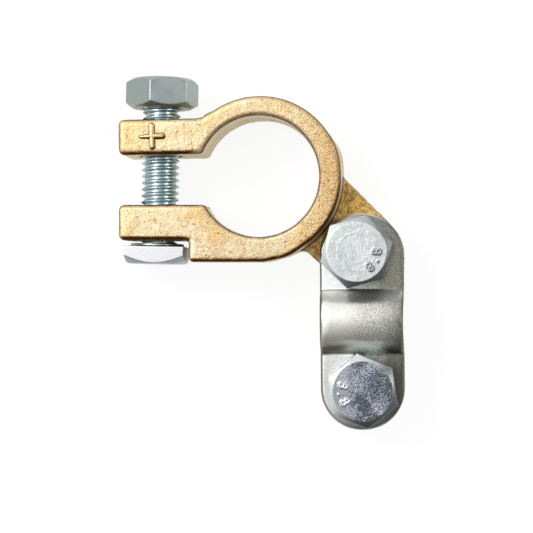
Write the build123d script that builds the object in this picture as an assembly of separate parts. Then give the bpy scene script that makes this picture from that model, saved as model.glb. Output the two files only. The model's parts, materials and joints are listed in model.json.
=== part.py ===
from build123d import *
import os
from math import acos, degrees, radians, sqrt, tan

# Battery terminal clamp: a cast brass split ring that closes on a battery post, with a clamp
# bolt through its two ears and a cable saddle bolted down on a tray at the end of a tongue.
#
# Frame, in millimetres: the origin is on the ring's bore axis, at the flat base.
# +Z runs up the bore, the ears point along -X, and the cable lies along X in the tray.

# ---------------------------------------------------------------- casting: ring and ears
body_height = 12.0          # ring and ears
post_radius = 9.25          # bore that grips the battery post
ring_radius = 12.35         # outside of the ring at its top
ring_shift = (0.2, -0.2)    # its middle, from the bore axis
draft = 1.0                 # degrees, outer walls lean in as they rise out of the mould
edge_round = 0.65           # upper edges of the ring and ears

slot_low = 4.4              # lower ear's inner face, below the bore axis
slot_width = 7.9            # gap between the ears where they leave the ring
ear_splay = 0.8             # degrees, upper ear leans towards the lower one at its tip
upper_ear_thickness = 5.3
lower_ear_thickness = 5.4
ear_reach = 21.35           # bore axis to the ears' tips
ear_corner = 0.8            # upright corners at the tips

plus_length = 4.15          # raised polarity sign on the upper ear
plus_width = 0.9
plus_height = 0.3
plus_inset = 5.1            # sign's middle, from the ear's tip and from the ear's middle line
plus_drop = 0.05
plus_turn = 2.1             # degrees

# ---------------------------------------------------------------- casting: tongue and tray
tongue_angle = 45.0         # degrees, tongue runs this far below +X
tongue_width = 12.1
tray_drop = 5.8             # tongue and tray stand this far below the ring's top
inner_root = 1.8            # fillets where the tongue's two sides meet the ring
outer_root = 0.8

# ---------------------------------------------------------------- M6 fasteners
thread_diameter = 6.0
thread_clearance = 0.05     # radial, male thread to female thread
across_flats = 10.0
chamfer_angle = 30.0        # degrees, corners of heads and nut
crown_diameter = 9.1        # flat circle left inside the chamfer
tip_chamfer = 0.6
mouth_chamfer = 0.5         # at both ends of the nut's thread

ear_hole_clearance = 0.5    # radial, clamp bolt through the ears
bolt_inset = 5.67           # clamp bolt's axis from the ears' tips, halfway up them
bolt_lean = 1.0             # degrees, the loose bolt leans in its holes: its nut's end towards +X
bolt_dip = 1.2              # degrees, and down
clamp_bolt_length = 25.0    # under the head
head_gap = 0.45             # lower ear to the clamp bolt's head
head_across = 9.25          # clamp bolt's square head
head_shift = 0.3            # head forged off the shank's axis, towards the ears' tips
head_thickness = 2.65
head_washer_diameter = 8.4  # thin disc forged under the square head
head_washer_thickness = 0.45
shoulder_gap = 0.95         # square head to the shoulder that stops it turning
shoulder_corner = 0.6
shoulder_drop = 0.3         # shoulder's outer wall stands out past the ring's
shoulder_end = 1.2          # that wall, past the bore axis, bends there to meet the ring
shoulder_bend = 6.0

nut_height = 4.6
nut_gap = 2.05              # upper ear to the nut
nut_turn = 18.0             # degrees, a corner of the nut below +X

# ---------------------------------------------------------------- cable saddle
saddle_x = 15.78            # saddle's middle, from the bore axis
saddle_y = -22.26
saddle_turn = 0.5           # degrees, the saddle lies a little askew on the tray
saddle_length = 33.4
saddle_width = 12.93
saddle_thickness = 2.0
saddle_edge = 0.45          # upper edges, rounded over by the press
cable_radius = 3.25         # arch and trough close on this
saddle_hole_clearance = 0.35
inner_tap_shift = (-0.83, 0.5)     # bolts against the centres of the saddle's rounded ends
outer_tap_shift = (0.09, -0.2)
saddle_head_height = 4.0
washer_face = 0.25          # turned step under a saddle bolt's head
tip_margin = 0.2            # saddle bolts' tips above the base
inner_bolt_turn = 15.6      # degrees, a corner of the head from +X
outer_bolt_turn = 38.0

# ---------------------------------------------------------------- worked out
ring_base = ring_radius + body_height * tan(radians(draft))
tray_height = body_height - tray_drop
slot_high = slot_width - slot_low
slot_mouth = sqrt(post_radius**2 - slot_high**2)       # slot's upper face meets the bore here

bolt_x = ear_reach - bolt_inset
plus_reach = ear_reach - plus_inset

thread_radius = thread_diameter / 2
tapped_radius = thread_radius + thread_clearance
ear_hole_radius = thread_radius + ear_hole_clearance
saddle_hole_radius = thread_radius + saddle_hole_clearance
crown_radius = crown_diameter / 2

head_seat = slot_low + lower_ear_thickness + head_gap  # distances along the clamp bolt
nut_seat = slot_high + upper_ear_thickness + nut_gap
head_side = bolt_x + head_shift + head_seat * tan(radians(bolt_lean)) - head_across / 2
shoulder_x = head_side - shoulder_gap
shoulder_y = ring_base - ring_shift[1] + shoulder_drop

tray_radius = saddle_width / 2
end_offset = saddle_length / 2 - tray_radius
inner_end = Vector(saddle_x, saddle_y + end_offset)
outer_end = Vector(saddle_x, saddle_y - end_offset)
inner_tap = inner_end + Vector(*inner_tap_shift)
outer_tap = outer_end + Vector(*outer_tap_shift)
saddle_top = tray_height + saddle_thickness

along = Vector(1, 0).rotate(Axis.Z, -tongue_angle)      # down the tongue, and across it
across = along.rotate(Axis.Z, 90)
outer_side = across.dot(inner_end) + tray_radius

past = 1.0                  # a cutter runs this far past what it cuts
foot = (Align.CENTER, Align.CENTER, Align.MIN)

# the clamp bolt's own line: +Z runs from its head to its nut, and its +Y runs down
clamp_line = Pos(-bolt_x, 0, body_height / 2) * Rot(0, 0, -bolt_lean) * Rot(-90 - bolt_dip, 0, 0)
ear_line = Pos(-bolt_x, 0, body_height / 2) * Rot(-90, 0, 0)


def outline(*points):
    """Flat face with straight sides, on the base."""
    return make_face(Polyline(*points, close=True))


def hexagon():
    """Plan of a head or nut, with a corner on its own +X."""
    return RegularPolygon(across_flats / 2, 6, major_radius=False)


def turned_corners(plan, height, both_ends=False):
    """Head or nut: a prism whose corners are turned off by a cone at the top, or at both ends."""
    prism = extrude(plan, amount=height)
    spread = height / tan(radians(chamfer_angle))
    cone = Cone(crown_radius + spread, crown_radius, height, align=foot)
    prism = prism & cone
    if both_ends:
        prism = prism & mirror(cone, about=Plane.XY.offset(height / 2))
    return prism


def rod(length):
    """Thread's outer size as a plain rod, with a chamfered tip."""
    shape = Cylinder(thread_radius, length, align=foot)
    return chamfer(shape.edges().sort_by(Axis.Z)[-1], tip_chamfer)


# ---------------------------------------------------------------- the casting
def ring_with_shoulder():
    """Drafted ring, with the straight shoulder beside the bolt's head as a wall that runs off its side."""
    middle, bend = Vector(*ring_shift), Vector(shoulder_end, -shoulder_y)
    reach = bend - middle
    turn = degrees(acos(ring_radius / reach.length))
    touch = middle + reach.normalized().rotate(Axis.Z, turn) * ring_radius
    shoulder = outline((-shoulder_x, 0), (-shoulder_x, -shoulder_y), (bend.X, bend.Y), (touch.X, touch.Y),
                       (0, 0))
    for corner, radius in ((bend, shoulder_bend), (Vector(-shoulder_x, -shoulder_y), shoulder_corner)):
        shoulder = fillet(shoulder.vertices().sort_by_distance(corner)[0], radius)
    ring = Pos(middle) * extrude(Circle(ring_base), amount=body_height, taper=draft)
    return ring + extrude(shoulder, amount=body_height)


def tongue_and_tray():
    """Tongue from under the ring, its outer side tangent to the tray's rounded end."""
    inner_side = outer_side - tongue_width
    left, right = saddle_x - tray_radius, saddle_x + tray_radius
    start_out, start_in = across * outer_side, across * inner_side
    join_in = start_in + along * ((left - start_in.X) / along.X)
    rim = [
        Line(start_in, join_in),
        Line(join_in, (left, outer_end.Y)),
        CenterArc(outer_end, tray_radius, 180, 180),
        Line((right, outer_end.Y), (right, inner_end.Y)),
        CenterArc(inner_end, tray_radius, 0, 90 - tongue_angle),
        Line(inner_end + across * tray_radius, start_out),
        Line(start_out, start_in),
    ]
    return extrude(make_face(Curve() + rim), amount=tray_height, taper=draft)


def ears():
    """Two ears; the upper one is splayed about the slot's mouth."""
    upper = outline((slot_mouth - ear_reach, 0), (slot_mouth, 0), (slot_mouth, upper_ear_thickness),
                    (slot_mouth - ear_reach, upper_ear_thickness))
    lower = outline((-ear_reach, -slot_low), (0, -slot_low), (0, -slot_low - lower_ear_thickness),
                    (-ear_reach, -slot_low - lower_ear_thickness))
    pair = [Pos(-slot_mouth, slot_high) * Rot(0, 0, ear_splay) * upper, lower]
    return [extrude(ear, amount=body_height) for ear in pair]


def plus_sign():
    """Two crossing ribs with rounded ends, on the upper ear's top."""
    bar = SlotOverall(plus_length, plus_width)
    ribs = extrude(bar + Rot(0, 0, 90) * bar, amount=plus_height)
    middle = Pos(-plus_reach, slot_high + upper_ear_thickness / 2 - plus_drop, body_height)
    return middle * Rot(0, 0, plus_turn) * ribs


def standing_near(part, x, y, reach):
    """Upright or sloping edges of a part whose middle is within reach of a point in plan."""
    edges = part.edges().filter_by(lambda edge: edge.bounding_box().size.Z > past)
    return edges.filter_by(lambda edge: (edge.center() - Vector(x, y, edge.center().Z)).length < reach)


def clamp_slot():
    """Gap between the ears, one side on the upper ear's splayed face."""
    far = ear_reach + past
    tip = slot_high - (far - slot_mouth) * tan(radians(ear_splay))
    plan = outline((0, -slot_low), (0, slot_high), (-slot_mouth, slot_high), (-far, tip), (-far, -slot_low))
    return extrude(plan, amount=body_height)


def make_terminal_body():
    """One brass casting, bored for the post, slotted between its ears, drilled and tapped."""
    body = ring_with_shoulder() + tongue_and_tray()
    for side, radius in ((outer_side, outer_root), (outer_side - tongue_width, inner_root)):
        corner = across * side + along * sqrt(ring_base**2 - side**2)
        body = fillet(standing_near(body, corner.X, corner.Y, past), radius)
    for ear in ears():
        body += ear
    tips = body.edges().filter_by(lambda edge: edge.bounding_box().max.X < past - ear_reach)
    body = fillet(tips.filter_by(lambda edge: edge.bounding_box().size.Z > past), ear_corner)
    body -= Cylinder(post_radius, body_height, align=foot)
    body -= clamp_slot()
    rim = body.edges().filter_by(lambda edge: edge.bounding_box().min.Z > body_height - past / 2)
    body = fillet(rim, edge_round)

    body -= ear_line * Cylinder(ear_hole_radius, 2 * ear_reach)
    trough = Rot(0, 90, 0) * Cylinder(cable_radius, saddle_width + past)
    trough = Pos(saddle_x, saddle_y, tray_height) * trough
    body -= trough
    for tap in (inner_tap, outer_tap):
        body -= Pos(tap) * Cylinder(tapped_radius, tray_height, align=foot)
    return body + plus_sign()


# ---------------------------------------------------------------- the clamp bolt and nut
def make_clamp_bolt():
    """Square-headed M6 bolt, with a thin disc forged under its head."""
    head = turned_corners(Rectangle(head_across, head_across), head_thickness)
    washer = Cylinder(head_washer_diameter / 2, head_washer_thickness, align=foot)
    forging = Pos(-head_shift, 0, -head_washer_thickness) * (washer + Rot(180, 0, 0) * head)
    bolt = forging + rod(clamp_bolt_length)
    return clamp_line * Pos(0, 0, -head_seat) * bolt


def make_clamp_nut():
    """M6 hexagon nut, its corners turned off at both ends."""
    nut = turned_corners(hexagon(), nut_height, both_ends=True)
    nut -= Cylinder(tapped_radius, nut_height, align=foot)
    mouths = nut.edges().filter_by(GeomType.CIRCLE).filter_by(lambda edge: edge.radius < crown_radius - past)
    nut = chamfer(mouths, mouth_chamfer)
    return clamp_line * Pos(0, 0, nut_seat) * Rot(0, 0, nut_turn) * nut


# ---------------------------------------------------------------- the cable saddle
def make_cable_saddle():
    """Pressed strap: rounded flat ends, and an arch over the cable between them."""
    arch = Circle(cable_radius + saddle_thickness) - Circle(cable_radius)
    flat = Pos(0, saddle_thickness / 2) * Rectangle(saddle_length, saddle_thickness)
    under = Pos(0, -saddle_length / 2) * Rectangle(saddle_length, saddle_length)
    section = flat + arch - under - Circle(cable_radius)
    strap = extrude(Plane.YZ * section, amount=saddle_width / 2, both=True)
    ends = extrude(Rot(0, 0, 90) * SlotOverall(saddle_length, saddle_width), amount=body_height)
    strap = strap & ends
    upper = strap.edges().filter_by(lambda edge: edge.bounding_box().min.Z > saddle_thickness / 2)
    creases = upper.filter_by(Axis.X)       # where the arch rises out of the flats
    strap = fillet(upper - creases, saddle_edge)
    strap = Pos(saddle_x, saddle_y, tray_height) * Rot(0, 0, saddle_turn) * strap
    for tap in (inner_tap, outer_tap):
        strap -= Pos(tap) * Cylinder(saddle_hole_radius, body_height, align=foot)
    return strap


def make_saddle_bolt(tap, turn):
    """Short M6 hexagon bolt through the saddle into the tray."""
    head = Pos(0, 0, washer_face) * turned_corners(hexagon(), saddle_head_height - washer_face)
    washer = Cylinder(across_flats / 2, washer_face, align=foot)
    bolt = head + washer + Rot(180, 0, 0) * rod(saddle_top - tip_margin)
    return Pos(tap.X, tap.Y, saddle_top) * Rot(0, 0, turn) * bolt


parts = {
    "terminal_body": make_terminal_body(),
    "clamp_bolt": make_clamp_bolt(),
    "clamp_nut": make_clamp_nut(),
    "cable_saddle": make_cable_saddle(),
    "saddle_bolt_inner": make_saddle_bolt(inner_tap, inner_bolt_turn),
    "saddle_bolt_outer": make_saddle_bolt(outer_tap, outer_bolt_turn),
}
os.makedirs("parts", exist_ok=True)
for name, shape in parts.items():
    export_step(shape, f"parts/{name}.step")
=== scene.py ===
import json
from math import atan2, ceil, cos, degrees, hypot, pi, radians, sin

import bpy
from mathutils import Matrix, Vector


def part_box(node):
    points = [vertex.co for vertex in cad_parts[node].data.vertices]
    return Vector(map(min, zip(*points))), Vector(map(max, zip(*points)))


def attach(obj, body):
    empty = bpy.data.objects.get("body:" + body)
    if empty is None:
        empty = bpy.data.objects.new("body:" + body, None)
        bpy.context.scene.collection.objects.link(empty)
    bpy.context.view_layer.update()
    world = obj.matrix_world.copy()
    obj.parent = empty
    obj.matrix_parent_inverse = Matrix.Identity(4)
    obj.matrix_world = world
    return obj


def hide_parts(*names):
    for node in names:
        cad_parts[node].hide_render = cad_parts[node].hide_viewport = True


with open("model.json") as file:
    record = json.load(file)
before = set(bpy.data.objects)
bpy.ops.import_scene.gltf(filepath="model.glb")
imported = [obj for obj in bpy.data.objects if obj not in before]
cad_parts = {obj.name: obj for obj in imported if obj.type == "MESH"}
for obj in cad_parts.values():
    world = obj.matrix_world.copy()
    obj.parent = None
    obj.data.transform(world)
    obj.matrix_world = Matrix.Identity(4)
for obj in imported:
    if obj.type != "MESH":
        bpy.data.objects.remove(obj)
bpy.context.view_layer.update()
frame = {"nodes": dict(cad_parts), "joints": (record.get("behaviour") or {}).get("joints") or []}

# Battery terminal clamp: a cast brass split ring with a zinc-plated clamp bolt and nut, and a
# pressed saddle that two hexagon bolts hold down on the cable. Pieces are modelled in
# millimetres in the CAD's own frame, and brought to metres when they are finished.

millimetre = 0.001
scene = bpy.context.scene
scene.view_settings.view_transform = "Standard"

# ---------------------------------------------------------------- camera
camera_place = (0.0191731, -0.0138699, 0.2757246)       # almost straight above, over the cable's side
camera_tilt = (0.0251, 3.8783, 0.025)                   # degrees
camera_lens = 117.454

camera = bpy.data.objects.new("camera", bpy.data.cameras.new("camera"))
camera.data.lens = camera_lens
camera.location = camera_place
camera.rotation_euler = [radians(angle) for angle in camera_tilt]
scene.collection.objects.link(camera)
scene.camera = camera


# ---------------------------------------------------------------- small helpers
def colour(code):
    """Linear colour of an sRGB hex code."""
    levels = [int(code[i:i + 2], 16) / 255 for i in (1, 3, 5)]
    return (*(v / 12.92 if v <= 0.04045 else ((v + 0.055) / 1.055) ** 2.4 for v in levels), 1.0)


def add(tree, kind, inputs=None, **settings):
    """Adds a node. Each input is a value, or another node's output to link."""
    made = tree.nodes.new(kind)
    for name, value in settings.items():
        setattr(made, name, value)
    for name, value in (inputs or {}).items():
        if isinstance(value, bpy.types.NodeSocket):
            tree.links.new(value, made.inputs[name])
        else:
            made.inputs[name].default_value = value
    return made


def metal(name):
    """New material with a metallic shader on its output; gives its tree and the shader."""
    material = bpy.data.materials.new(name)
    material.use_nodes = True
    tree = material.node_tree
    tree.nodes.clear()
    shader = add(tree, "ShaderNodeBsdfPrincipled", {"Metallic": 1.0})
    add(tree, "ShaderNodeOutputMaterial", {"Surface": shader.outputs[0]})
    return material, tree, shader


# ---------------------------------------------------------------- finishes
# Object coordinates are in metres, so a scale of 1000 / d draws lumps about d millimetres wide. The
# real grain of zinc plate is finer than a picture shows, and is drawn as coarse as it needs to be.
# Map Range takes its sockets 1 and 2 to its sockets 3 and 4; a Mix goes by its socket 0 from 6 to 7
# in colour, or from 2 to 3 in value. Heights and places on a piece are in metres, in the frame.
def cast_brass():
    """Sand-cast and tumbled brass: pale gold high spots, fine dark pits, painted shade in dark brown on the
    rounded edges, most on those that lean to the front and the right, and paler steep walls. The bore's
    rounded edge keeps a thin dull coat, and mirrors less than the rest. The low tongue was tumbled less and
    stays deeper in colour and rougher; the ring's right side is darker and coarser in grain too."""
    material, tree, shader = metal("cast_brass")
    where = add(tree, "ShaderNodeTexCoord")
    spot = where.outputs["Object"]
    normal = add(tree, "ShaderNodeSeparateXYZ", {0: where.outputs["Normal"]})
    facing = normal.outputs["Z"]
    place = add(tree, "ShaderNodeSeparateXYZ", {0: spot})

    clouds = add(tree, "ShaderNodeTexNoise", {"Vector": spot, "Scale": 1000 / 5.0, "Detail": 3.0})
    mottle = add(tree, "ShaderNodeTexNoise", {"Vector": spot, "Scale": 1000 / 1.0, "Detail": 4.0})
    grain = add(tree, "ShaderNodeTexNoise", {"Vector": spot, "Scale": 1000 / 0.30, "Detail": 3.0,
                                             "Roughness": 0.65})
    specks = add(tree, "ShaderNodeTexNoise", {"Vector": spot, "Scale": 1000 / 0.36, "Detail": 2.0})

    # where on the casting: the low tongue, the right of the ring, and both
    low = add(tree, "ShaderNodeMapRange", {"Value": place.outputs["Z"], 1: 0.0067, 2: 0.0061}).outputs[0]
    right = add(tree, "ShaderNodeMapRange", {"Value": place.outputs["X"], 1: 0.002, 2: 0.012}).outputs[0]
    raw = add(tree, "ShaderNodeMath", {0: right, 1: low}, operation="MAXIMUM").outputs[0]

    # which way the skin faces, with its borders made uneven by the mottle
    uneven = add(tree, "ShaderNodeMath", {0: mottle.outputs[0], 1: -0.22, 2: facing},
                 operation="MULTIPLY_ADD").outputs[0]
    uneven = add(tree, "ShaderNodeMath", {0: uneven, 1: 0.11}, operation="ADD").outputs[0]
    wall = add(tree, "ShaderNodeMapRange", {"Value": facing, 1: 0.34, 2: 0.10}).outputs[0]
    slope = add(tree, "ShaderNodeMapRange", {"Value": uneven, 1: 0.98, 2: 0.86}).outputs[0]
    shade_fringe = add(tree, "ShaderNodeMapRange", {"Value": uneven, 1: 1.02, 2: 0.95}).outputs[0]
    dark_edge_shade = add(tree, "ShaderNodeMapRange", {"Value": uneven, 1: 0.78, 2: 0.50}).outputs[0]

    # painted shade: the rounded edges that lean to the front and the right are painted dark brown with an
    # orange band on their inner side, less of it in the bore
    lean = add(tree, "ShaderNodeMath", {0: normal.outputs["X"], 1: -0.35, 2: normal.outputs["Y"]},
               operation="MULTIPLY_ADD").outputs[0]
    shaded = add(tree, "ShaderNodeMapRange", {"Value": lean, 1: -0.02, 2: -0.40}).outputs[0]
    shade_fringe = add(tree, "ShaderNodeMath", {0: shade_fringe, 1: shaded}, operation="MULTIPLY").outputs[0]
    painted_edge_shade = add(tree, "ShaderNodeMath", {0: slope, 1: shaded}, operation="MULTIPLY").outputs[0]
    span = add(tree, "ShaderNodeVectorMath", {0: spot}, operation="LENGTH").outputs["Value"]
    outside = add(tree, "ShaderNodeMapRange", {"Value": span, 1: 0.0155, 2: 0.0165, 3: 0.30}).outputs[0]
    painted_edge_shade = add(tree, "ShaderNodeMath", {0: painted_edge_shade, 1: outside}, operation="MULTIPLY").outputs[0]
    shade_fringe = add(tree, "ShaderNodeMath", {0: shade_fringe, 1: outside}, operation="MULTIPLY").outputs[0]
    filmed = add(tree, "ShaderNodeMath", {0: slope, 1: outside}, operation="SUBTRACT",
                 use_clamp=True).outputs[0]
    bare = add(tree, "ShaderNodeMapRange", {"Value": filmed, 3: 1.0, 4: 0.3}).outputs[0]
    tree.links.new(bare, shader.inputs["Metallic"])
    tongue = add(tree, "ShaderNodeMath", {0: low, 1: slope},
                 operation="SUBTRACT", use_clamp=True).outputs[0]

    # patterns of the skin
    warm = add(tree, "ShaderNodeMapRange", {"Value": clouds.outputs[0], 1: 0.46, 2: 0.66}).outputs[0]
    blotch = add(tree, "ShaderNodeMapRange", {"Value": mottle.outputs[0], 1: 0.48, 2: 0.70}).outputs[0]
    pale = add(tree, "ShaderNodeMapRange", {"Value": grain.outputs[0], 1: 0.40, 2: 0.62}).outputs[0]
    pit = add(tree, "ShaderNodeMapRange", {"Value": specks.outputs[0], 1: 0.61, 2: 0.71,
                                           4: 0.7}).outputs[0]
    open_pit = add(tree, "ShaderNodeMapRange", {"Value": wall, 3: 1.0, 4: 0.15}).outputs[0]
    pit = add(tree, "ShaderNodeMath", {0: pit, 1: open_pit}, operation="MULTIPLY").outputs[0]
    flakes = add(tree, "ShaderNodeMath", {0: grain.outputs[0], 1: 0.5, 2: mottle.outputs[0]},
                 operation="MULTIPLY_ADD").outputs[0]
    crust = add(tree, "ShaderNodeMapRange", {"Value": flakes, 1: 0.72, 2: 0.82}).outputs[0]
    stain = add(tree, "ShaderNodeMath", {0: tongue, 1: crust}, operation="MULTIPLY").outputs[0]

    gold = add(tree, "ShaderNodeMix", {0: warm, 6: colour("#E4D0AC"), 7: colour("#DFBE85")},
               data_type="RGBA")
    gold = add(tree, "ShaderNodeMix", {0: right, 6: gold.outputs[2], 7: colour("#D3AF7B")},
               data_type="RGBA")
    gold = add(tree, "ShaderNodeMix", {0: blotch, 6: gold.outputs[2], 7: colour("#D6BC8D")},
               data_type="RGBA")
    gold = add(tree, "ShaderNodeMix", {0: tongue, 6: gold.outputs[2], 7: colour("#F5C970")},
               data_type="RGBA")
    gold = add(tree, "ShaderNodeMix", {0: stain, 6: gold.outputs[2], 7: colour("#8A6429")},
               data_type="RGBA")
    light = add(tree, "ShaderNodeMix", {0: pale, 6: (0.80, 0.77, 0.72, 1), 7: (1.02, 1.03, 1.06, 1)},
                data_type="RGBA")
    strength = add(tree, "ShaderNodeMapRange", {"Value": raw, 3: 0.70, 4: 1.0}).outputs[0]
    gold = add(tree, "ShaderNodeMix", {0: strength, 6: gold.outputs[2], 7: light.outputs[2]},
               data_type="RGBA", blend_type="MULTIPLY")
    # painted shade: an orange band on the inner side of the shaded edges
    gold = add(tree, "ShaderNodeMix", {0: shade_fringe, 6: gold.outputs[2], 7: colour("#CF9E58")},
               data_type="RGBA")
    # painted shade: a dark brown line on the steepest part of every rounded edge
    gold = add(tree, "ShaderNodeMix", {0: dark_edge_shade, 6: gold.outputs[2], 7: colour("#553717")},
               data_type="RGBA")
    # painted shade: dark brown on the rounded edges that lean to the front and the right
    gold = add(tree, "ShaderNodeMix", {0: painted_edge_shade, 6: gold.outputs[2], 7: colour("#553619")},
               data_type="RGBA")
    # the steep walls are paler and greyer than the tops
    pale_wall = add(tree, "ShaderNodeMix", {0: warm, 6: colour("#D2C39C"), 7: colour("#CBB384")},
                 data_type="RGBA")
    gold = add(tree, "ShaderNodeMix", {0: wall, 6: gold.outputs[2], 7: pale_wall.outputs[2]},
               data_type="RGBA")
    gold = add(tree, "ShaderNodeMix", {0: pit, 6: gold.outputs[2], 7: colour("#6B4A20")}, data_type="RGBA")
    tree.links.new(gold.outputs[2], shader.inputs["Base Color"])

    dull = add(tree, "ShaderNodeMapRange", {"Value": grain.outputs[0], 1: 0.3, 2: 0.7, 3: 0.34, 4: 0.48})
    tree.links.new(dull.outputs[0], shader.inputs["Roughness"])

    relief = add(tree, "ShaderNodeMath", {0: mottle.outputs[0], 1: 0.6, 2: grain.outputs[0]},
                 operation="MULTIPLY_ADD").outputs[0]
    relief = add(tree, "ShaderNodeMath", {0: pit, 1: -0.3, 2: relief}, operation="MULTIPLY_ADD").outputs[0]
    depth = add(tree, "ShaderNodeMapRange", {"Value": raw, 3: 0.9, 4: 4.2}).outputs[0]
    relief = add(tree, "ShaderNodeMath", {0: relief, 1: depth}, operation="MULTIPLY").outputs[0]
    bump = add(tree, "ShaderNodeBump", {"Height": relief, "Strength": 1.0, "Distance": 0.00005})
    tree.links.new(bump.outputs[0], shader.inputs["Normal"])
    return material


def zinc(name, top, side, dullness, grain_size, grain_depth, tarnish, speck=0.0, crown=1.0, shade=0.0):
    """Bright zinc plate over steel. What faces up keeps the grain of the forged or pressed blank;
    grain_size and grain_depth are in millimetres, tarnish is the colour that it clouds over with, and
    speck is how far its grain darkens it: a grained head is worn smooth and grey at its left. Above
    the crown, a height in metres, marks stand up and are worn clean, with painted shade on their
    flanks. Shade is how far painted shade darkens the slopes at the right and the front."""
    material, tree, shader = metal(name)
    where = add(tree, "ShaderNodeTexCoord")
    spot = where.outputs["Object"]
    normal = add(tree, "ShaderNodeSeparateXYZ", {0: where.outputs["Normal"]})
    facing = normal.outputs["Z"]
    upward = add(tree, "ShaderNodeMapRange", {"Value": facing, 1: 0.90, 2: 0.98}).outputs[0]

    clouds = add(tree, "ShaderNodeTexNoise", {"Vector": spot, "Scale": 1000 / 3.5, "Detail": 3.0})
    grain = add(tree, "ShaderNodeTexNoise", {"Vector": spot, "Scale": 1000 / grain_size, "Detail": 2.0,
                                             "Roughness": 0.7})
    haze = add(tree, "ShaderNodeMapRange", {"Value": clouds.outputs[0], 1: 0.45, 2: 0.70,
                                            4: 0.6}).outputs[0]
    plate = add(tree, "ShaderNodeMix", {0: upward, 6: colour(side), 7: colour(top)}, data_type="RGBA")
    plate = add(tree, "ShaderNodeMix", {0: haze, 6: plate.outputs[2], 7: colour(tarnish)},
                data_type="RGBA")

    # the grain thins out towards the left, where the head is worn
    patches = add(tree, "ShaderNodeTexNoise", {"Vector": spot, "Scale": 1000 / 2.2, "Detail": 3.0})
    place = add(tree, "ShaderNodeSeparateXYZ", {0: spot})
    clear = add(tree, "ShaderNodeMapRange", {"Value": place.outputs["X"], 1: 0.0155, 2: 0.0118,
                                             4: 0.14}).outputs[0]
    smooth = add(tree, "ShaderNodeMapRange", {"Value": place.outputs["X"], 1: 0.0150, 2: 0.0122,
                                              4: speck * 0.8}).outputs[0]
    worn = add(tree, "ShaderNodeMath", {0: smooth, 1: upward}, operation="MULTIPLY").outputs[0]
    biased = add(tree, "ShaderNodeMath", {0: patches.outputs[0], 1: 0.5, 2: grain.outputs[0]},
                 operation="MULTIPLY_ADD").outputs[0]
    biased = add(tree, "ShaderNodeMath", {0: biased, 1: clear}, operation="ADD").outputs[0]
    grey = add(tree, "ShaderNodeMapRange", {"Value": biased, 1: 0.72, 2: 0.88, 3: 1 - speck}).outputs[0]
    risen = add(tree, "ShaderNodeMapRange", {"Value": place.outputs["Z"], 1: crown + 0.00002,
                                             2: crown + 0.00006}).outputs[0]
    grained = add(tree, "ShaderNodeMath", {0: upward, 1: risen}, operation="SUBTRACT",
                  use_clamp=True).outputs[0]
    grey = add(tree, "ShaderNodeMix", {0: grained, 6: (1, 1, 1, 1), 7: grey}, data_type="RGBA")

    # painted shade: the slopes that face right and to the front are painted darker, by the share given as
    # shade
    lean = add(tree, "ShaderNodeMath", {0: normal.outputs["Y"], 1: 0.6}, operation="MULTIPLY").outputs[0]
    lean = add(tree, "ShaderNodeMath", {0: normal.outputs["X"], 1: -0.8, 2: lean},
               operation="MULTIPLY_ADD").outputs[0]
    slope_shade = add(tree, "ShaderNodeMapRange", {"Value": lean, 1: 0.38, 2: -0.30, 3: 1.0,
                                            4: 1 - shade}).outputs[0]
    slope_shade = add(tree, "ShaderNodeMix", {0: upward, 2: slope_shade, 3: 1.0}).outputs[0]

    plate = add(tree, "ShaderNodeMix", {0: 1.0, 6: plate.outputs[2], 7: slope_shade}, data_type="RGBA",
                blend_type="MULTIPLY")
    plate = add(tree, "ShaderNodeMix", {0: 1.0, 6: plate.outputs[2], 7: grey.outputs[2]}, data_type="RGBA",
                blend_type="MULTIPLY")
    plate = add(tree, "ShaderNodeMix", {0: worn, 6: plate.outputs[2], 7: colour("#9FA4A6")},
                data_type="RGBA")
    # painted shade: the marks' steep flanks are painted dark
    crest = add(tree, "ShaderNodeMapRange", {"Value": facing, 1: 0.55, 2: 0.92}).outputs[0]
    mark = add(tree, "ShaderNodeMix", {0: crest, 6: colour("#3C4149"), 7: colour("#FFFFFF")},
               data_type="RGBA")
    plate = add(tree, "ShaderNodeMix", {0: risen, 6: plate.outputs[2], 7: mark.outputs[2]},
                data_type="RGBA")
    tree.links.new(plate.outputs[2], shader.inputs["Base Color"])

    dull = add(tree, "ShaderNodeMapRange", {"Value": grain.outputs[0], 1: 0.3, 2: 0.7,
                                            3: dullness * 0.85, 4: dullness * 1.2})
    tree.links.new(dull.outputs[0], shader.inputs["Roughness"])
    depth = add(tree, "ShaderNodeMath", {0: grained, 1: worn}, operation="SUBTRACT",
                use_clamp=True).outputs[0]
    depth = add(tree, "ShaderNodeMapRange", {"Value": depth, 3: 0.25, 4: 1.0}).outputs[0]
    relief = add(tree, "ShaderNodeMath", {0: grain.outputs[0], 1: depth}, operation="MULTIPLY").outputs[0]
    bump = add(tree, "ShaderNodeBump", {"Height": relief, "Strength": 1.0,
                                        "Distance": grain_depth * millimetre})
    tree.links.new(bump.outputs[0], shader.inputs["Normal"])
    return material


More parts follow.
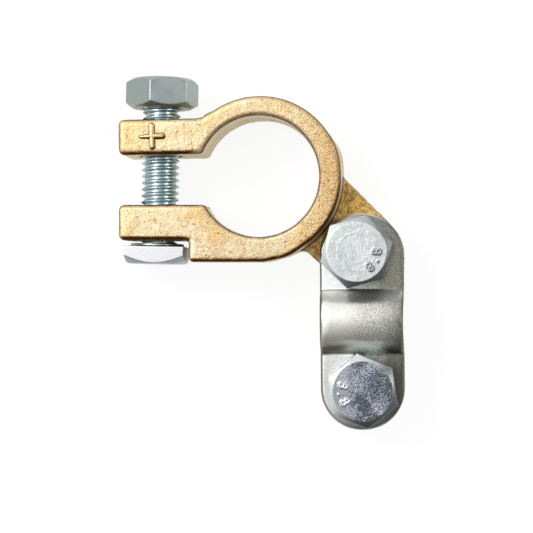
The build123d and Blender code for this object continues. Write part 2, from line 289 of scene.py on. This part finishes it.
def pressed_zinc():
    """Zinc on the pressed strap: nearly white at its left and dark at its right and lower right, partly
    tarnish and partly painted shade for a reflection that fades, with a painted dark line of shade in the
    crease at the arch's foot, painted highlights and shade on the arch's flanks, painted shade on the
    strap's sideways edges, and fine dark grain where the press drew it."""
    material, tree, shader = metal("zinc_pressed")
    where = add(tree, "ShaderNodeTexCoord")
    spot = where.outputs["Object"]
    normal = add(tree, "ShaderNodeSeparateXYZ", {0: where.outputs["Normal"]})
    facing = normal.outputs["Z"]
    place = add(tree, "ShaderNodeSeparateXYZ", {0: spot})
    clouds = add(tree, "ShaderNodeTexNoise", {"Vector": spot, "Scale": 1000 / 4.0, "Detail": 3.0})
    grain = add(tree, "ShaderNodeTexNoise", {"Vector": spot, "Scale": 1000 / 0.18, "Detail": 2.0,
                                             "Roughness": 0.7})

    # the flats and their ends
    shift = add(tree, "ShaderNodeMath", {0: clouds.outputs[0], 1: 0.008, 2: place.outputs["X"]},
                operation="MULTIPLY_ADD").outputs[0]
    right = add(tree, "ShaderNodeMapRange", {"Value": shift, 1: 0.0175, 2: 0.0235}).outputs[0]
    rim = add(tree, "ShaderNodeMapRange", {"Value": shift, 1: 0.0225, 2: 0.0265}).outputs[0]
    flat = add(tree, "ShaderNodeMapRange", {"Value": facing, 1: 0.93, 2: 0.985}).outputs[0]
    level = add(tree, "ShaderNodeMapRange", {"Value": place.outputs["Z"], 1: 0.0097, 2: 0.0093}).outputs[0]
    flat = add(tree, "ShaderNodeMath", {0: flat, 1: level}, operation="MULTIPLY").outputs[0]
    outer = add(tree, "ShaderNodeMapRange", {"Value": place.outputs["Y"], 1: -0.024, 2: -0.030}).outputs[0]
    # painted highlight and shade, with some tarnish: the flats go from nearly white at the left to dark at
    # the right, and the lower flat is darker
    bright = add(tree, "ShaderNodeMix", {0: outer, 6: colour("#FFFFFF"), 7: colour("#D8D7D2")},
                 data_type="RGBA")
    dark = add(tree, "ShaderNodeMix", {0: outer, 6: colour("#A19F8E"), 7: colour("#5E5C53")},
               data_type="RGBA")
    plate = add(tree, "ShaderNodeMix", {0: right, 6: bright.outputs[2], 7: dark.outputs[2]},
                data_type="RGBA")
    end = add(tree, "ShaderNodeMapRange", {"Value": place.outputs["Y"], 1: -0.0350, 2: -0.0385,
                                           4: 0.9}).outputs[0]
    plate = add(tree, "ShaderNodeMix", {0: end, 6: plate.outputs[2], 7: colour("#6A6962")},
                data_type="RGBA")
    tip = add(tree, "ShaderNodeMapRange", {"Value": place.outputs["Y"], 1: -0.0090, 2: -0.0062,
                                           4: 0.8}).outputs[0]
    plate = add(tree, "ShaderNodeMix", {0: tip, 6: plate.outputs[2], 7: colour("#8F958F")},
                data_type="RGBA")

    # the arch, with its flanks towards the cable's end and away from it
    # painted shade, with some tarnish: the arch is darker towards its right edge
    arch = add(tree, "ShaderNodeMix", {0: rim, 6: colour("#E9E7DE"), 7: colour("#8E8C80")},
               data_type="RGBA")
    toward = add(tree, "ShaderNodeMapRange", {"Value": normal.outputs["Y"], 1: -0.50, 2: -0.72}).outputs[0]
    away = add(tree, "ShaderNodeMapRange", {"Value": normal.outputs["Y"], 1: 0.60, 2: 0.85}).outputs[0]
    centre = add(tree, "ShaderNodeMapRange", {"Value": shift, 1: 0.0165, 2: 0.0200}).outputs[0]
    past = add(tree, "ShaderNodeMapRange", {"Value": shift, 1: 0.0215, 2: 0.0245, 3: 1.0,
                                            4: 0.0}).outputs[0]
    band = add(tree, "ShaderNodeMath", {0: centre, 1: past}, operation="MULTIPLY").outputs[0]
    # painted highlight and shade on the flank towards the cable's end: a bright greenish band, dark to
    # either side
    under = add(tree, "ShaderNodeMix", {0: band, 6: colour("#6C695E"), 7: colour("#F4FFFB")},
                data_type="RGBA")
    # painted highlight: the flank away from the cable's end is painted nearly white
    over = add(tree, "ShaderNodeMix", {0: centre, 6: colour("#FFFFF8"), 7: colour("#EDEFEA")},
               data_type="RGBA")
    arch = add(tree, "ShaderNodeMix", {0: toward, 6: arch.outputs[2], 7: under.outputs[2]},
               data_type="RGBA")
    arch = add(tree, "ShaderNodeMix", {0: away, 6: arch.outputs[2], 7: over.outputs[2]}, data_type="RGBA")
    sideways = add(tree, "ShaderNodeMath", {0: normal.outputs["X"]}, operation="ABSOLUTE").outputs[0]
    # painted shade: the strap's faces that turn sideways are painted dark
    dark_edge_shade = add(tree, "ShaderNodeMapRange", {"Value": sideways, 1: 0.25, 2: 0.60}).outputs[0]
    arch = add(tree, "ShaderNodeMix", {0: dark_edge_shade, 6: arch.outputs[2], 7: colour("#6F6D64")},
               data_type="RGBA")
    plate = add(tree, "ShaderNodeMix", {0: flat, 6: arch.outputs[2], 7: plate.outputs[2]},
                data_type="RGBA")

    # painted shade in the crease at the arch's foot, and the drawn grain
    near = add(tree, "ShaderNodeMapRange", {"Value": facing, 1: 0.985, 2: 0.955}).outputs[0]
    crease_shade = add(tree, "ShaderNodeMapRange", {"Value": facing, 1: 0.84, 2: 0.92, 4: 0.8}).outputs[0]
    crease_shade = add(tree, "ShaderNodeMath", {0: near, 1: crease_shade}, operation="MULTIPLY").outputs[0]
    crease_shade = add(tree, "ShaderNodeMath", {0: crease_shade, 1: level}, operation="MULTIPLY").outputs[0]
    plate = add(tree, "ShaderNodeMix", {0: crease_shade, 6: plate.outputs[2], 7: colour("#4A4A45")},
                data_type="RGBA")
    drawn = add(tree, "ShaderNodeMapRange", {"Value": shift, 1: 0.0165, 2: 0.0215, 4: 0.55}).outputs[0]
    speck = add(tree, "ShaderNodeMapRange", {"Value": grain.outputs[0], 1: 0.56, 2: 0.48}).outputs[0]
    speck = add(tree, "ShaderNodeMath", {0: speck, 1: drawn}, operation="MULTIPLY").outputs[0]
    plate = add(tree, "ShaderNodeMix", {0: speck, 6: plate.outputs[2], 7: colour("#5F6060")},
                data_type="RGBA")
    tree.links.new(plate.outputs[2], shader.inputs["Base Color"])

    # the painted highlights on the flanks mirror less than bare plate, and both flanks are duller
    flank = add(tree, "ShaderNodeMath", {0: toward, 1: away}, operation="ADD").outputs[0]
    flank_highlight = add(tree, "ShaderNodeMath", {0: away, 1: centre}, operation="SUBTRACT",
                use_clamp=True).outputs[0]
    flank_highlight = add(tree, "ShaderNodeMath", {0: toward, 1: band, 2: flank_highlight},
                operation="MULTIPLY_ADD").outputs[0]
    bare = add(tree, "ShaderNodeMapRange", {"Value": flank_highlight, 3: 1.0, 4: 0.5}).outputs[0]
    tree.links.new(bare, shader.inputs["Metallic"])
    dull = add(tree, "ShaderNodeMapRange", {"Value": grain.outputs[0], 1: 0.3, 2: 0.7, 3: 0.24, 4: 0.36})
    dull = add(tree, "ShaderNodeMix", {0: flank, 2: dull.outputs[0], 3: 0.46})
    tree.links.new(dull.outputs[0], shader.inputs["Roughness"])
    bump = add(tree, "ShaderNodeBump", {"Height": grain.outputs[0], "Strength": 1.0, "Distance": 0.00002})
    tree.links.new(bump.outputs[0], shader.inputs["Normal"])
    return material


brass = cast_brass()
nut_zinc = zinc("zinc_nut", "#C2CBC8", "#9BA5A1", 0.34, 1.50, 0.003, "#9DA8A4")
thread_zinc = zinc("zinc_thread", "#C0CCCE", "#B2C2C4", 0.30, 0.30, 0.004, "#A6B8BC")
square_zinc = zinc("zinc_square_head", "#D5D5D6", "#8A9292", 0.34, 0.25, 0.006, "#D2D2D4")
pale_zinc = zinc("zinc_forged_pale", "#DEE1DF", "#BFC6C2", 0.36, 0.70, 0.060, "#C6CBC9", 0.10, shade=0.68)
blue_zinc = zinc("zinc_forged_blue", "#C3CAD6", "#D2D8D3", 0.26, 0.17, 0.070, "#A0A8B8", 0.85,
                 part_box("saddle_bolt_outer")[1].z, 0.70)
strap_zinc = pressed_zinc()


# ---------------------------------------------------------------- modelling by hand
weld = 0.002                # corners closer than this are merged
seat_gap = 0.01             # a shank is cut off this far inside its head, clear of the head's seat
shank_root = 0.2            # a thread runs this far into its head


def held(value):
    """The value, held between 0 and 1."""
    return min(1, max(0, value))


def pick(piece):
    """Leaves only this piece selected, and active."""
    bpy.ops.object.select_all(action="DESELECT")
    piece.select_set(True)
    bpy.context.view_layer.objects.active = piece


def modified(piece, kind, **settings):
    """Adds a modifier and applies it."""
    pick(piece)
    modifier = piece.modifiers.new(kind.lower(), kind)
    for name, value in settings.items():
        setattr(modifier, name, value)
    bpy.ops.object.modifier_apply(modifier=modifier.name)


def copied(node, name, line=Matrix.Identity(4)):
    """A CAD node's mesh in millimetres, merged, and seen from a line of its own."""
    piece = bpy.data.objects.new(name, frame["nodes"][node].data.copy())
    scene.collection.objects.link(piece)
    piece.data.materials.clear()
    piece.data.transform(line.inverted() @ Matrix.Scale(1 / millimetre, 4))
    pick(piece)
    bpy.ops.object.mode_set(mode="EDIT")
    bpy.ops.mesh.select_all(action="SELECT")
    bpy.ops.mesh.remove_doubles(threshold=weld)
    bpy.ops.object.mode_set(mode="OBJECT")
    return piece


def cut_flat(piece, height, keep):
    """Cuts the piece at a height on its own Z, keeps what lies above or below, and closes the cut."""
    pick(piece)
    bpy.ops.object.mode_set(mode="EDIT")
    bpy.ops.mesh.select_all(action="SELECT")
    bpy.ops.mesh.bisect(plane_co=(0, 0, height), plane_no=(0, 0, 1), use_fill=True,
                        clear_inner=keep == "above", clear_outer=keep == "below")
    bpy.ops.object.mode_set(mode="OBJECT")


def softened(piece, voxel, rounds):
    """Remeshes the piece evenly and rounds its edges a little, as casting, forging and plating do."""
    modified(piece, "REMESH", mode="VOXEL", voxel_size=voxel)
    modified(piece, "SMOOTH", factor=0.5, iterations=rounds)


def roughened(piece, size, depth, group=""):
    """Pushes the skin in and out by depth, in lumps of about that size, in millimetres."""
    lumps = bpy.data.textures.new(f"lumps_{size}", "CLOUDS")
    lumps.noise_scale = size
    lumps.noise_depth = 2
    modified(piece, "DISPLACE", texture=lumps, texture_coords="LOCAL", strength=2 * depth, mid_level=0.5,
             vertex_group=group)


def joined(piece, others):
    """Makes the others part of the piece's own mesh."""
    pick(piece)
    for other in others:
        other.select_set(True)
    bpy.ops.object.join()


def placed(piece, node, body, line=Matrix.Identity(4)):
    """Brings a finished piece from its line to the frame, in metres, in place of its node."""
    piece.data.transform(Matrix.Scale(millimetre, 4) @ line)
    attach(piece, body)
    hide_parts(node)


# ---------------------------------------------------------------- threads
pitch = 1.0
crest_radius = 2.96
root_radius = 2.42
steps_a_turn = 48
tip_chamfer = 0.6
sharpest_smooth = 35        # degrees: a thread's edges sharper than this stay sharp


def threaded_rod(name, bottom, top, crest, tip, finish):
    """M6 thread between two heights on Z: its one-pitch profile, drawn corner by corner, goes round
    by a screw, and the ends are cut flat. Corners are radii, and shares of the pitch. A crest passes
    +X at the height given, and the tip is the chamfered end."""
    first = crest - pitch / 2
    first -= ceil((first - bottom) / pitch + 1) * pitch
    corners = [(root_radius, 0), (root_radius, 1 / 8), (crest_radius, 7 / 16), (crest_radius, 9 / 16),
               (root_radius, 7 / 8), (root_radius, 1)]
    bpy.ops.object.select_all(action="DESELECT")
    bpy.ops.mesh.primitive_plane_add(size=0.1, location=(0, 0, 0))
    rod = bpy.context.object
    rod.name = name
    bpy.ops.object.mode_set(mode="EDIT")
    bpy.ops.mesh.merge(type="CENTER")
    here = Vector((0, 0, 0))
    for number, (radius, share) in enumerate(corners):
        there = Vector((radius, 0, first + share * pitch))
        if number:
            bpy.ops.mesh.extrude_region_move(TRANSFORM_OT_translate={"value": there - here})
        else:
            bpy.ops.transform.translate(value=there)
        here = there
    bpy.ops.object.mode_set(mode="OBJECT")
    turns = ceil((top - first) / pitch) + 1
    modified(rod, "SCREW", axis="Z", angle=2 * pi, screw_offset=pitch, iterations=turns,
             steps=steps_a_turn, render_steps=steps_a_turn)
    bpy.ops.object.mode_set(mode="EDIT")
    bpy.ops.mesh.select_all(action="SELECT")
    bpy.ops.mesh.remove_doubles(threshold=weld)
    bpy.ops.mesh.normals_make_consistent(inside=False)
    bpy.ops.object.mode_set(mode="OBJECT")
    cut_flat(rod, bottom, "above")
    cut_flat(rod, top, "below")
    for vertex in rod.data.vertices:
        spot = vertex.co
        radius = hypot(spot.x, spot.y)
        limit = crest_radius - tip_chamfer + abs(spot.z - tip)
        if radius > limit:
            spot.x *= limit / radius
            spot.y *= limit / radius
    rod.data.materials.append(finish)
    pick(rod)
    bpy.ops.object.shade_smooth_by_angle(angle=radians(sharpest_smooth))
    return rod


# ---------------------------------------------------------------- the casting
casting_voxel = 0.235
casting_rounds = 3
casting_top = 12.0
shrink_back = 0.08          # what the smoothing takes off the edges
coarse_sand = (1.6, 0.030)  # size and depth of the lumps that the sand leaves
fine_sand = (0.5, 0.018)
tongue_sand = (0.8, 0.11)
tongue_top = 6.7            # the low tongue lies between these heights
tongue_base = 3.0
bore_skin = 9.6             # what lies nearer the bore axis is the bore's wall
head_seat = (-11.0, -9.3)   # ear's face left of and below this meets the square head, and keeps its place
tray_line = -16.0           # the tray lies past this, and what smoothing took is not given back there
fade = 4.0                  # over this length it is given back more and more
tray_side = 20.8            # its right wall is tucked in a little under the saddle
tray_tuck = 0.3
# ring walls that the mould left out of true: radii from and to, direction and half reach in degrees,
# push outwards at the top and at the base, and whether it stays clear of the low tongue
casting_pushes = [(8.8, 9.6, 218, 36, 0.0, 0.45, False),
                  (8.8, 9.6, 62, 32, 0.0, 0.12, False),
                  (11.4, 13.6, -71, 15, 0.32, 0.32, True),
                  (11.4, 13.6, 19, 17, 0.10, 0.32, False),
                  (11.4, 13.4, 131, 8, 0.32, 0.22, False)]
plus_middle = Vector((-16.25, 6.1, casting_top))        # on the upper ear
plus_turn = 2.1                             # degrees
plus_reach = 2.1                            # middle to the end of each arm
plus_half_width = 0.52
plus_height = 0.48
slim_arm = 0.62                             # share of its width that the arm by the ear's tip has


def plus_rib(turn, share):
    """One rounded rib of the polarity sign: a ball drawn out along X and flattened. The arm at its -X
    end is narrowed to a share of its width."""
    bpy.ops.object.select_all(action="DESELECT")
    bpy.ops.mesh.primitive_uv_sphere_add(segments=32, ring_count=16, radius=plus_half_width)
    rib = bpy.context.object
    for vertex in rib.data.vertices:
        if abs(vertex.co.x) > plus_half_width / 100:
            if vertex.co.x < 0:
                vertex.co.y *= share
            vertex.co.x += (plus_reach - plus_half_width) * (1 if vertex.co.x > 0 else -1)
        vertex.co.z *= plus_height / plus_half_width
    turned = Matrix.Rotation(radians(plus_turn + turn), 4, "Z")
    rib.data.transform(Matrix.Translation(plus_middle) @ turned)
    return rib


def pushed(casting, near, far, way, reach, at_top, at_base, clear):
    """Pushes a stretch of the ring's wall outwards, most in its middle. Where it stays clear of the
    tongue, the low part moves on the side away from it only."""
    for vertex in casting.data.vertices:
        spot = vertex.co
        radius = hypot(spot.x, spot.y)
        off = (degrees(atan2(spot.y, spot.x)) - way + 180) % 360 - 180
        if near < radius < far and abs(off) < reach:
            share = cos(off / reach * pi / 2) ** 2
            height = held(spot.z / casting_top)
            if clear and spot.z < tongue_top:
                share *= held(-off / reach)
            push = share * (at_base + (at_top - at_base) * height)
            spot.x *= 1 + push / radius
            spot.y *= 1 + push / radius


def make_casting():
    """Brass body, with the lumpy skin of its sand mould and the raised polarity sign."""
    casting = copied("terminal_body", "brass_casting")
    for vertex in casting.data.vertices:
        vertex.co.z = min(vertex.co.z, casting_top)
    softened(casting, casting_voxel, casting_rounds)
    outside = casting.vertex_groups.new(name="outside")
    for vertex in casting.data.vertices:
        share = held((vertex.co.y - tray_line) / fade)
        under_head = vertex.co.x < head_seat[0] and vertex.co.y < head_seat[1]
        if hypot(vertex.co.x, vertex.co.y) > bore_skin and share > 0 and not under_head:
            outside.add([vertex.index], share, "REPLACE")
    modified(casting, "DISPLACE", strength=shrink_back, mid_level=0, vertex_group="outside")
    for vertex in casting.data.vertices:
        if vertex.co.y < tray_line and vertex.co.x > tray_side:
            vertex.co.x -= tray_tuck * min(1, vertex.co.x - tray_side)
    for reshape in casting_pushes:
        pushed(casting, *reshape)
    roughened(casting, *coarse_sand)
    roughened(casting, *fine_sand)
    low = [vertex.index for vertex in casting.data.vertices
           if tongue_base < vertex.co.z < tongue_top
           and vertex.co.y > tray_line - fade and vertex.co.x > 0]
    casting.vertex_groups.new(name="tongue").add(low, 1.0, "REPLACE")
    roughened(casting, *tongue_sand, "tongue")
    for vertex in casting.data.vertices:
        vertex.co.z = max(vertex.co.z, 0)
    ribs = [plus_rib(0, slim_arm), plus_rib(90, 1.0)]
    joined(casting, ribs)
    casting.data.materials.append(brass)
    bpy.ops.object.shade_smooth()
    placed(casting, "terminal_body", "terminal_body")


# ---------------------------------------------------------------- clamp bolt and nut
forging_voxel = 0.1
forging_rounds = 3
square_head_depth = 3.1
clamp_crest = 0.18          # height at which a crest of the clamp bolt's thread passes +X


def clamp_line():
    """The clamp bolt's own line, in millimetres: +Z runs from its head to its nut."""
    joint = next(joint for joint in frame["joints"] if joint["child"] == "clamp_nut")
    axis = Vector(joint["axis"])
    spot = Vector(joint["pos_m"]) / millimetre
    return Matrix.Translation(spot) @ axis.to_track_quat("Z", "Y").to_matrix().to_4x4()


def make_clamp_bolt(line):
    """Square-headed bolt: forged head with its thin disc, and a thread as long as the shank."""
    bolt = copied("clamp_bolt", "square_bolt", line)
    heights = [vertex.co.z for vertex in bolt.data.vertices]
    seat = min(heights) + square_head_depth
    tip = max(heights)
    cut_flat(bolt, seat - seat_gap, "below")
    softened(bolt, forging_voxel, forging_rounds)
    bolt.data.materials.append(square_zinc)
    pick(bolt)
    bpy.ops.object.shade_smooth()
    rod = threaded_rod("square_bolt_thread", seat - shank_root, tip, clamp_crest, tip, thread_zinc)
    joined(bolt, [rod])
    placed(bolt, "clamp_bolt", "clamp_bolt", line)


def make_clamp_nut(line):
    """Hexagon nut with softly rounded edges."""
    nut = copied("clamp_nut", "hexagon_nut", line)
    softened(nut, forging_voxel, forging_rounds)
    nut.data.materials.append(nut_zinc)
    pick(nut)
    bpy.ops.object.shade_smooth()
    placed(nut, "clamp_nut", "clamp_nut", line)


# ---------------------------------------------------------------- saddle bolts
head_height = 4.0
head_rounds = 2
mark_radius = 3.05          # strength grade round the head: its figures, and the point outside them
point_radius = 3.58
figure_turn = 24.2          # degrees, from the point to each figure
figure_size = 2.1
figure_swell = 0.022        # makes the figures' strokes as thick as stamped ones
mark_height = 0.24
forging_ring_radius = 2.9   # low ring that the forging die leaves, sunk into the head
forging_ring_thickness = 0.16
forging_ring_sink = 0.125


def raised_sign(text, centre, radius, turn):
    """One raised figure on top of a head, its foot towards the rim."""
    bpy.ops.object.select_all(action="DESELECT")
    bpy.ops.object.text_add()
    sign = bpy.context.object
    sign.data.body = text
    sign.data.size = figure_size
    sign.data.extrude = mark_height
    sign.data.offset = figure_swell
    sign.data.resolution_u = 4
    bpy.ops.object.convert(target="MESH")
    sign = bpy.context.object
    corners = [vertex.co for vertex in sign.data.vertices]
    middle = [(min(spot[i] for spot in corners) + max(spot[i] for spot in corners)) / 2 for i in (0, 1)]
    sign.data.transform(Matrix.Translation((-middle[0], -middle[1], 0)))
    spot = centre + Vector((radius * cos(radians(turn)), radius * sin(radians(turn)), 0))
    sign.data.transform(Matrix.Translation(spot) @ Matrix.Rotation(radians(turn + 90), 4, "Z"))
    return sign


def make_saddle_bolt(node, name, finish, mark_turn, ringed):
    """Hexagon bolt with its strength grade raised on the head, turned so many degrees from +X, and a
    thread for a shank. A ringed one has the forging ring too."""
    low, high = (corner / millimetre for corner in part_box(node))
    axis = (low + high) / 2
    line = Matrix.Translation((axis.x, axis.y, 0))
    seat = high.z - head_height
    bolt = copied(node, name, line)
    cut_flat(bolt, seat + seat_gap, "above")
    top = Vector((0, 0, high.z))
    signs = [raised_sign("8", top, mark_radius, mark_turn + figure_turn),
             raised_sign(".", top, point_radius, mark_turn),
             raised_sign("8", top, mark_radius, mark_turn - figure_turn)]
    if ringed:
        bpy.ops.object.select_all(action="DESELECT")
        bpy.ops.mesh.primitive_torus_add(major_radius=forging_ring_radius,
                                         minor_radius=forging_ring_thickness,
                                         major_segments=72, minor_segments=12)
        ring = bpy.context.object
        ring.data.transform(Matrix.Translation(top - Vector((0, 0, forging_ring_sink))))
        signs.append(ring)
    joined(bolt, signs)
    softened(bolt, forging_voxel, head_rounds)
    bolt.data.materials.append(finish)
    pick(bolt)
    bpy.ops.object.shade_smooth()
    rod = threaded_rod(f"{name}_thread", low.z, seat + shank_root, 0.0, low.z, thread_zinc)
    joined(bolt, [rod])
    placed(bolt, node, node, line)


# ---------------------------------------------------------------- saddle
saddle_voxel = 0.15
saddle_rounds = 4
pressed_skin = (0.9, 0.012)     # size and depth of the unevenness that the press leaves
arch_radius = 5.25
bow_reach = arch_radius + 1
waist = 0.25                # the arch's right edge is drawn in by this much at its middle
roll = 0.30                 # drop of the arch's open left end
roll_reach = 1.8            # how far in from that end it drops
roll_foot = 2.0             # and how far up the arch's side the drop begins, from its centre


def make_saddle():
    """Pressed strap over the cable: its arch is drawn in at the right and rolled down at the left."""
    saddle = copied("cable_saddle", "pressed_saddle")
    softened(saddle, saddle_voxel, saddle_rounds)
    low, high = (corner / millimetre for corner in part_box("cable_saddle"))
    middle = (low + high) / 2
    half_width = (high.x - low.x) / 2
    roll_base = high.z - arch_radius + roll_foot
    for vertex in saddle.data.vertices:
        spot = vertex.co
        along = held(abs(spot.y - middle.y) / bow_reach)
        bow = cos(along * pi / 2) ** 2
        side = (spot.x - middle.x) / half_width
        if side > 0:
            spot.x -= waist * bow * side
        rise = max(0, spot.z - roll_base) / (high.z - roll_base)
        inside = half_width * (1 + side)
        if inside < roll_reach:
            spot.z -= roll * rise * (1 - inside / roll_reach) ** 2
    roughened(saddle, *pressed_skin)
    saddle.data.materials.append(strap_zinc)
    pick(saddle)
    bpy.ops.object.shade_smooth()
    placed(saddle, "cable_saddle", "cable_saddle")


make_casting()
bolt_line = clamp_line()
make_clamp_bolt(bolt_line)
make_clamp_nut(bolt_line)
make_saddle()
make_saddle_bolt("saddle_bolt_inner", "inner_hexagon_bolt", pale_zinc, mark_turn=-24.4, ringed=True)
make_saddle_bolt("saddle_bolt_outer", "outer_hexagon_bolt", blue_zinc, mark_turn=186.6, ringed=False)


# ---------------------------------------------------------------- floor and light
def make_floor():
    """White paper: it keeps a soft shadow, and shows white to the eye and in the metal."""
    bpy.ops.object.select_all(action="DESELECT")
    bpy.ops.mesh.primitive_plane_add(size=4.0, location=(0, 0, 0))
    floor = bpy.context.object
    floor.name = "floor"
    material = bpy.data.materials.new("white_paper")
    material.use_nodes = True
    tree = material.node_tree
    tree.nodes.clear()
    rays = add(tree, "ShaderNodeLightPath")
    seen = add(tree, "ShaderNodeMath", {0: rays.outputs["Is Camera Ray"], 1: rays.outputs["Is Glossy Ray"]},
               operation="MAXIMUM")
    seen = add(tree, "ShaderNodeMath", {0: seen.outputs[0], 1: rays.outputs["Is Transmission Ray"]},
               operation="MAXIMUM")
    paper = add(tree, "ShaderNodeBsdfDiffuse", {"Color": colour("#F2F2F2")})
    faint = add(tree, "ShaderNodeBsdfDiffuse", {"Color": colour("#5C5C5C")})
    glow = add(tree, "ShaderNodeEmission", {"Color": (1, 1, 1, 1), "Strength": 0.90})
    shown = add(tree, "ShaderNodeAddShader", {0: faint.outputs[0], 1: glow.outputs[0]})
    surface = add(tree, "ShaderNodeMixShader", {0: seen.outputs[0], 1: paper.outputs[0],
                                                2: shown.outputs[0]})
    add(tree, "ShaderNodeOutputMaterial", {"Surface": surface.outputs[0]})
    floor.data.materials.append(material)


def make_studio():
    """Room that is bright overhead to the left and behind, half lit to the right, and dim in front."""
    world = bpy.data.worlds.new("studio")
    scene.world = world
    world.use_nodes = True
    tree = world.node_tree
    tree.nodes.clear()
    way = add(tree, "ShaderNodeTexCoord").outputs["Generated"]
    turned = add(tree, "ShaderNodeVectorMath", {0: way, 1: (-0.8, 0.6, 0)}, operation="DOT_PRODUCT")
    parts = add(tree, "ShaderNodeSeparateXYZ", {0: way})
    beside = add(tree, "ShaderNodeMapRange", {"Value": turned.outputs["Value"], 1: -0.18, 2: 0.12},
                 interpolation_type="SMOOTHSTEP").outputs[0]
    above = add(tree, "ShaderNodeMapRange", {"Value": parts.outputs["Z"], 1: -0.05, 2: 0.28},
                interpolation_type="SMOOTHSTEP").outputs[0]
    front = add(tree, "ShaderNodeMapRange", {"Value": parts.outputs["Y"], 1: -0.45, 2: -0.9,
                                             3: 1.0, 4: 0.45},
                interpolation_type="SMOOTHSTEP").outputs[0]
    window = add(tree, "ShaderNodeMath", {0: beside, 1: above}, operation="MULTIPLY").outputs[0]
    level = add(tree, "ShaderNodeMapRange", {"Value": window, 3: 0.52, 4: 1.15}).outputs[0]
    level = add(tree, "ShaderNodeMath", {0: level, 1: front}, operation="MULTIPLY").outputs[0]
    back = add(tree, "ShaderNodeBackground", {"Color": colour("#FBFCFF"), "Strength": level})
    add(tree, "ShaderNodeOutputWorld", {"Surface": back.outputs[0]})


def add_softbox(name, place, aim, size, power):
    """Square soft light, aimed at a point."""
    light = bpy.data.objects.new(name, bpy.data.lights.new(name, "AREA"))
    light.data.shape = "SQUARE"
    light.data.size = size
    light.data.energy = power
    light.location = place
    light.rotation_euler = (Vector(aim) - Vector(place)).to_track_quat("-Z", "Y").to_euler()
    scene.collection.objects.link(light)


make_floor()
make_studio()
add_softbox("left_softbox", (-0.28, 0.16, 0.42), (0, -0.01, 0), 0.22, 1.3)
add_softbox("right_softbox", (0.40, 0.05, 0.30), (0, -0.01, 0), 0.18, 0.4)
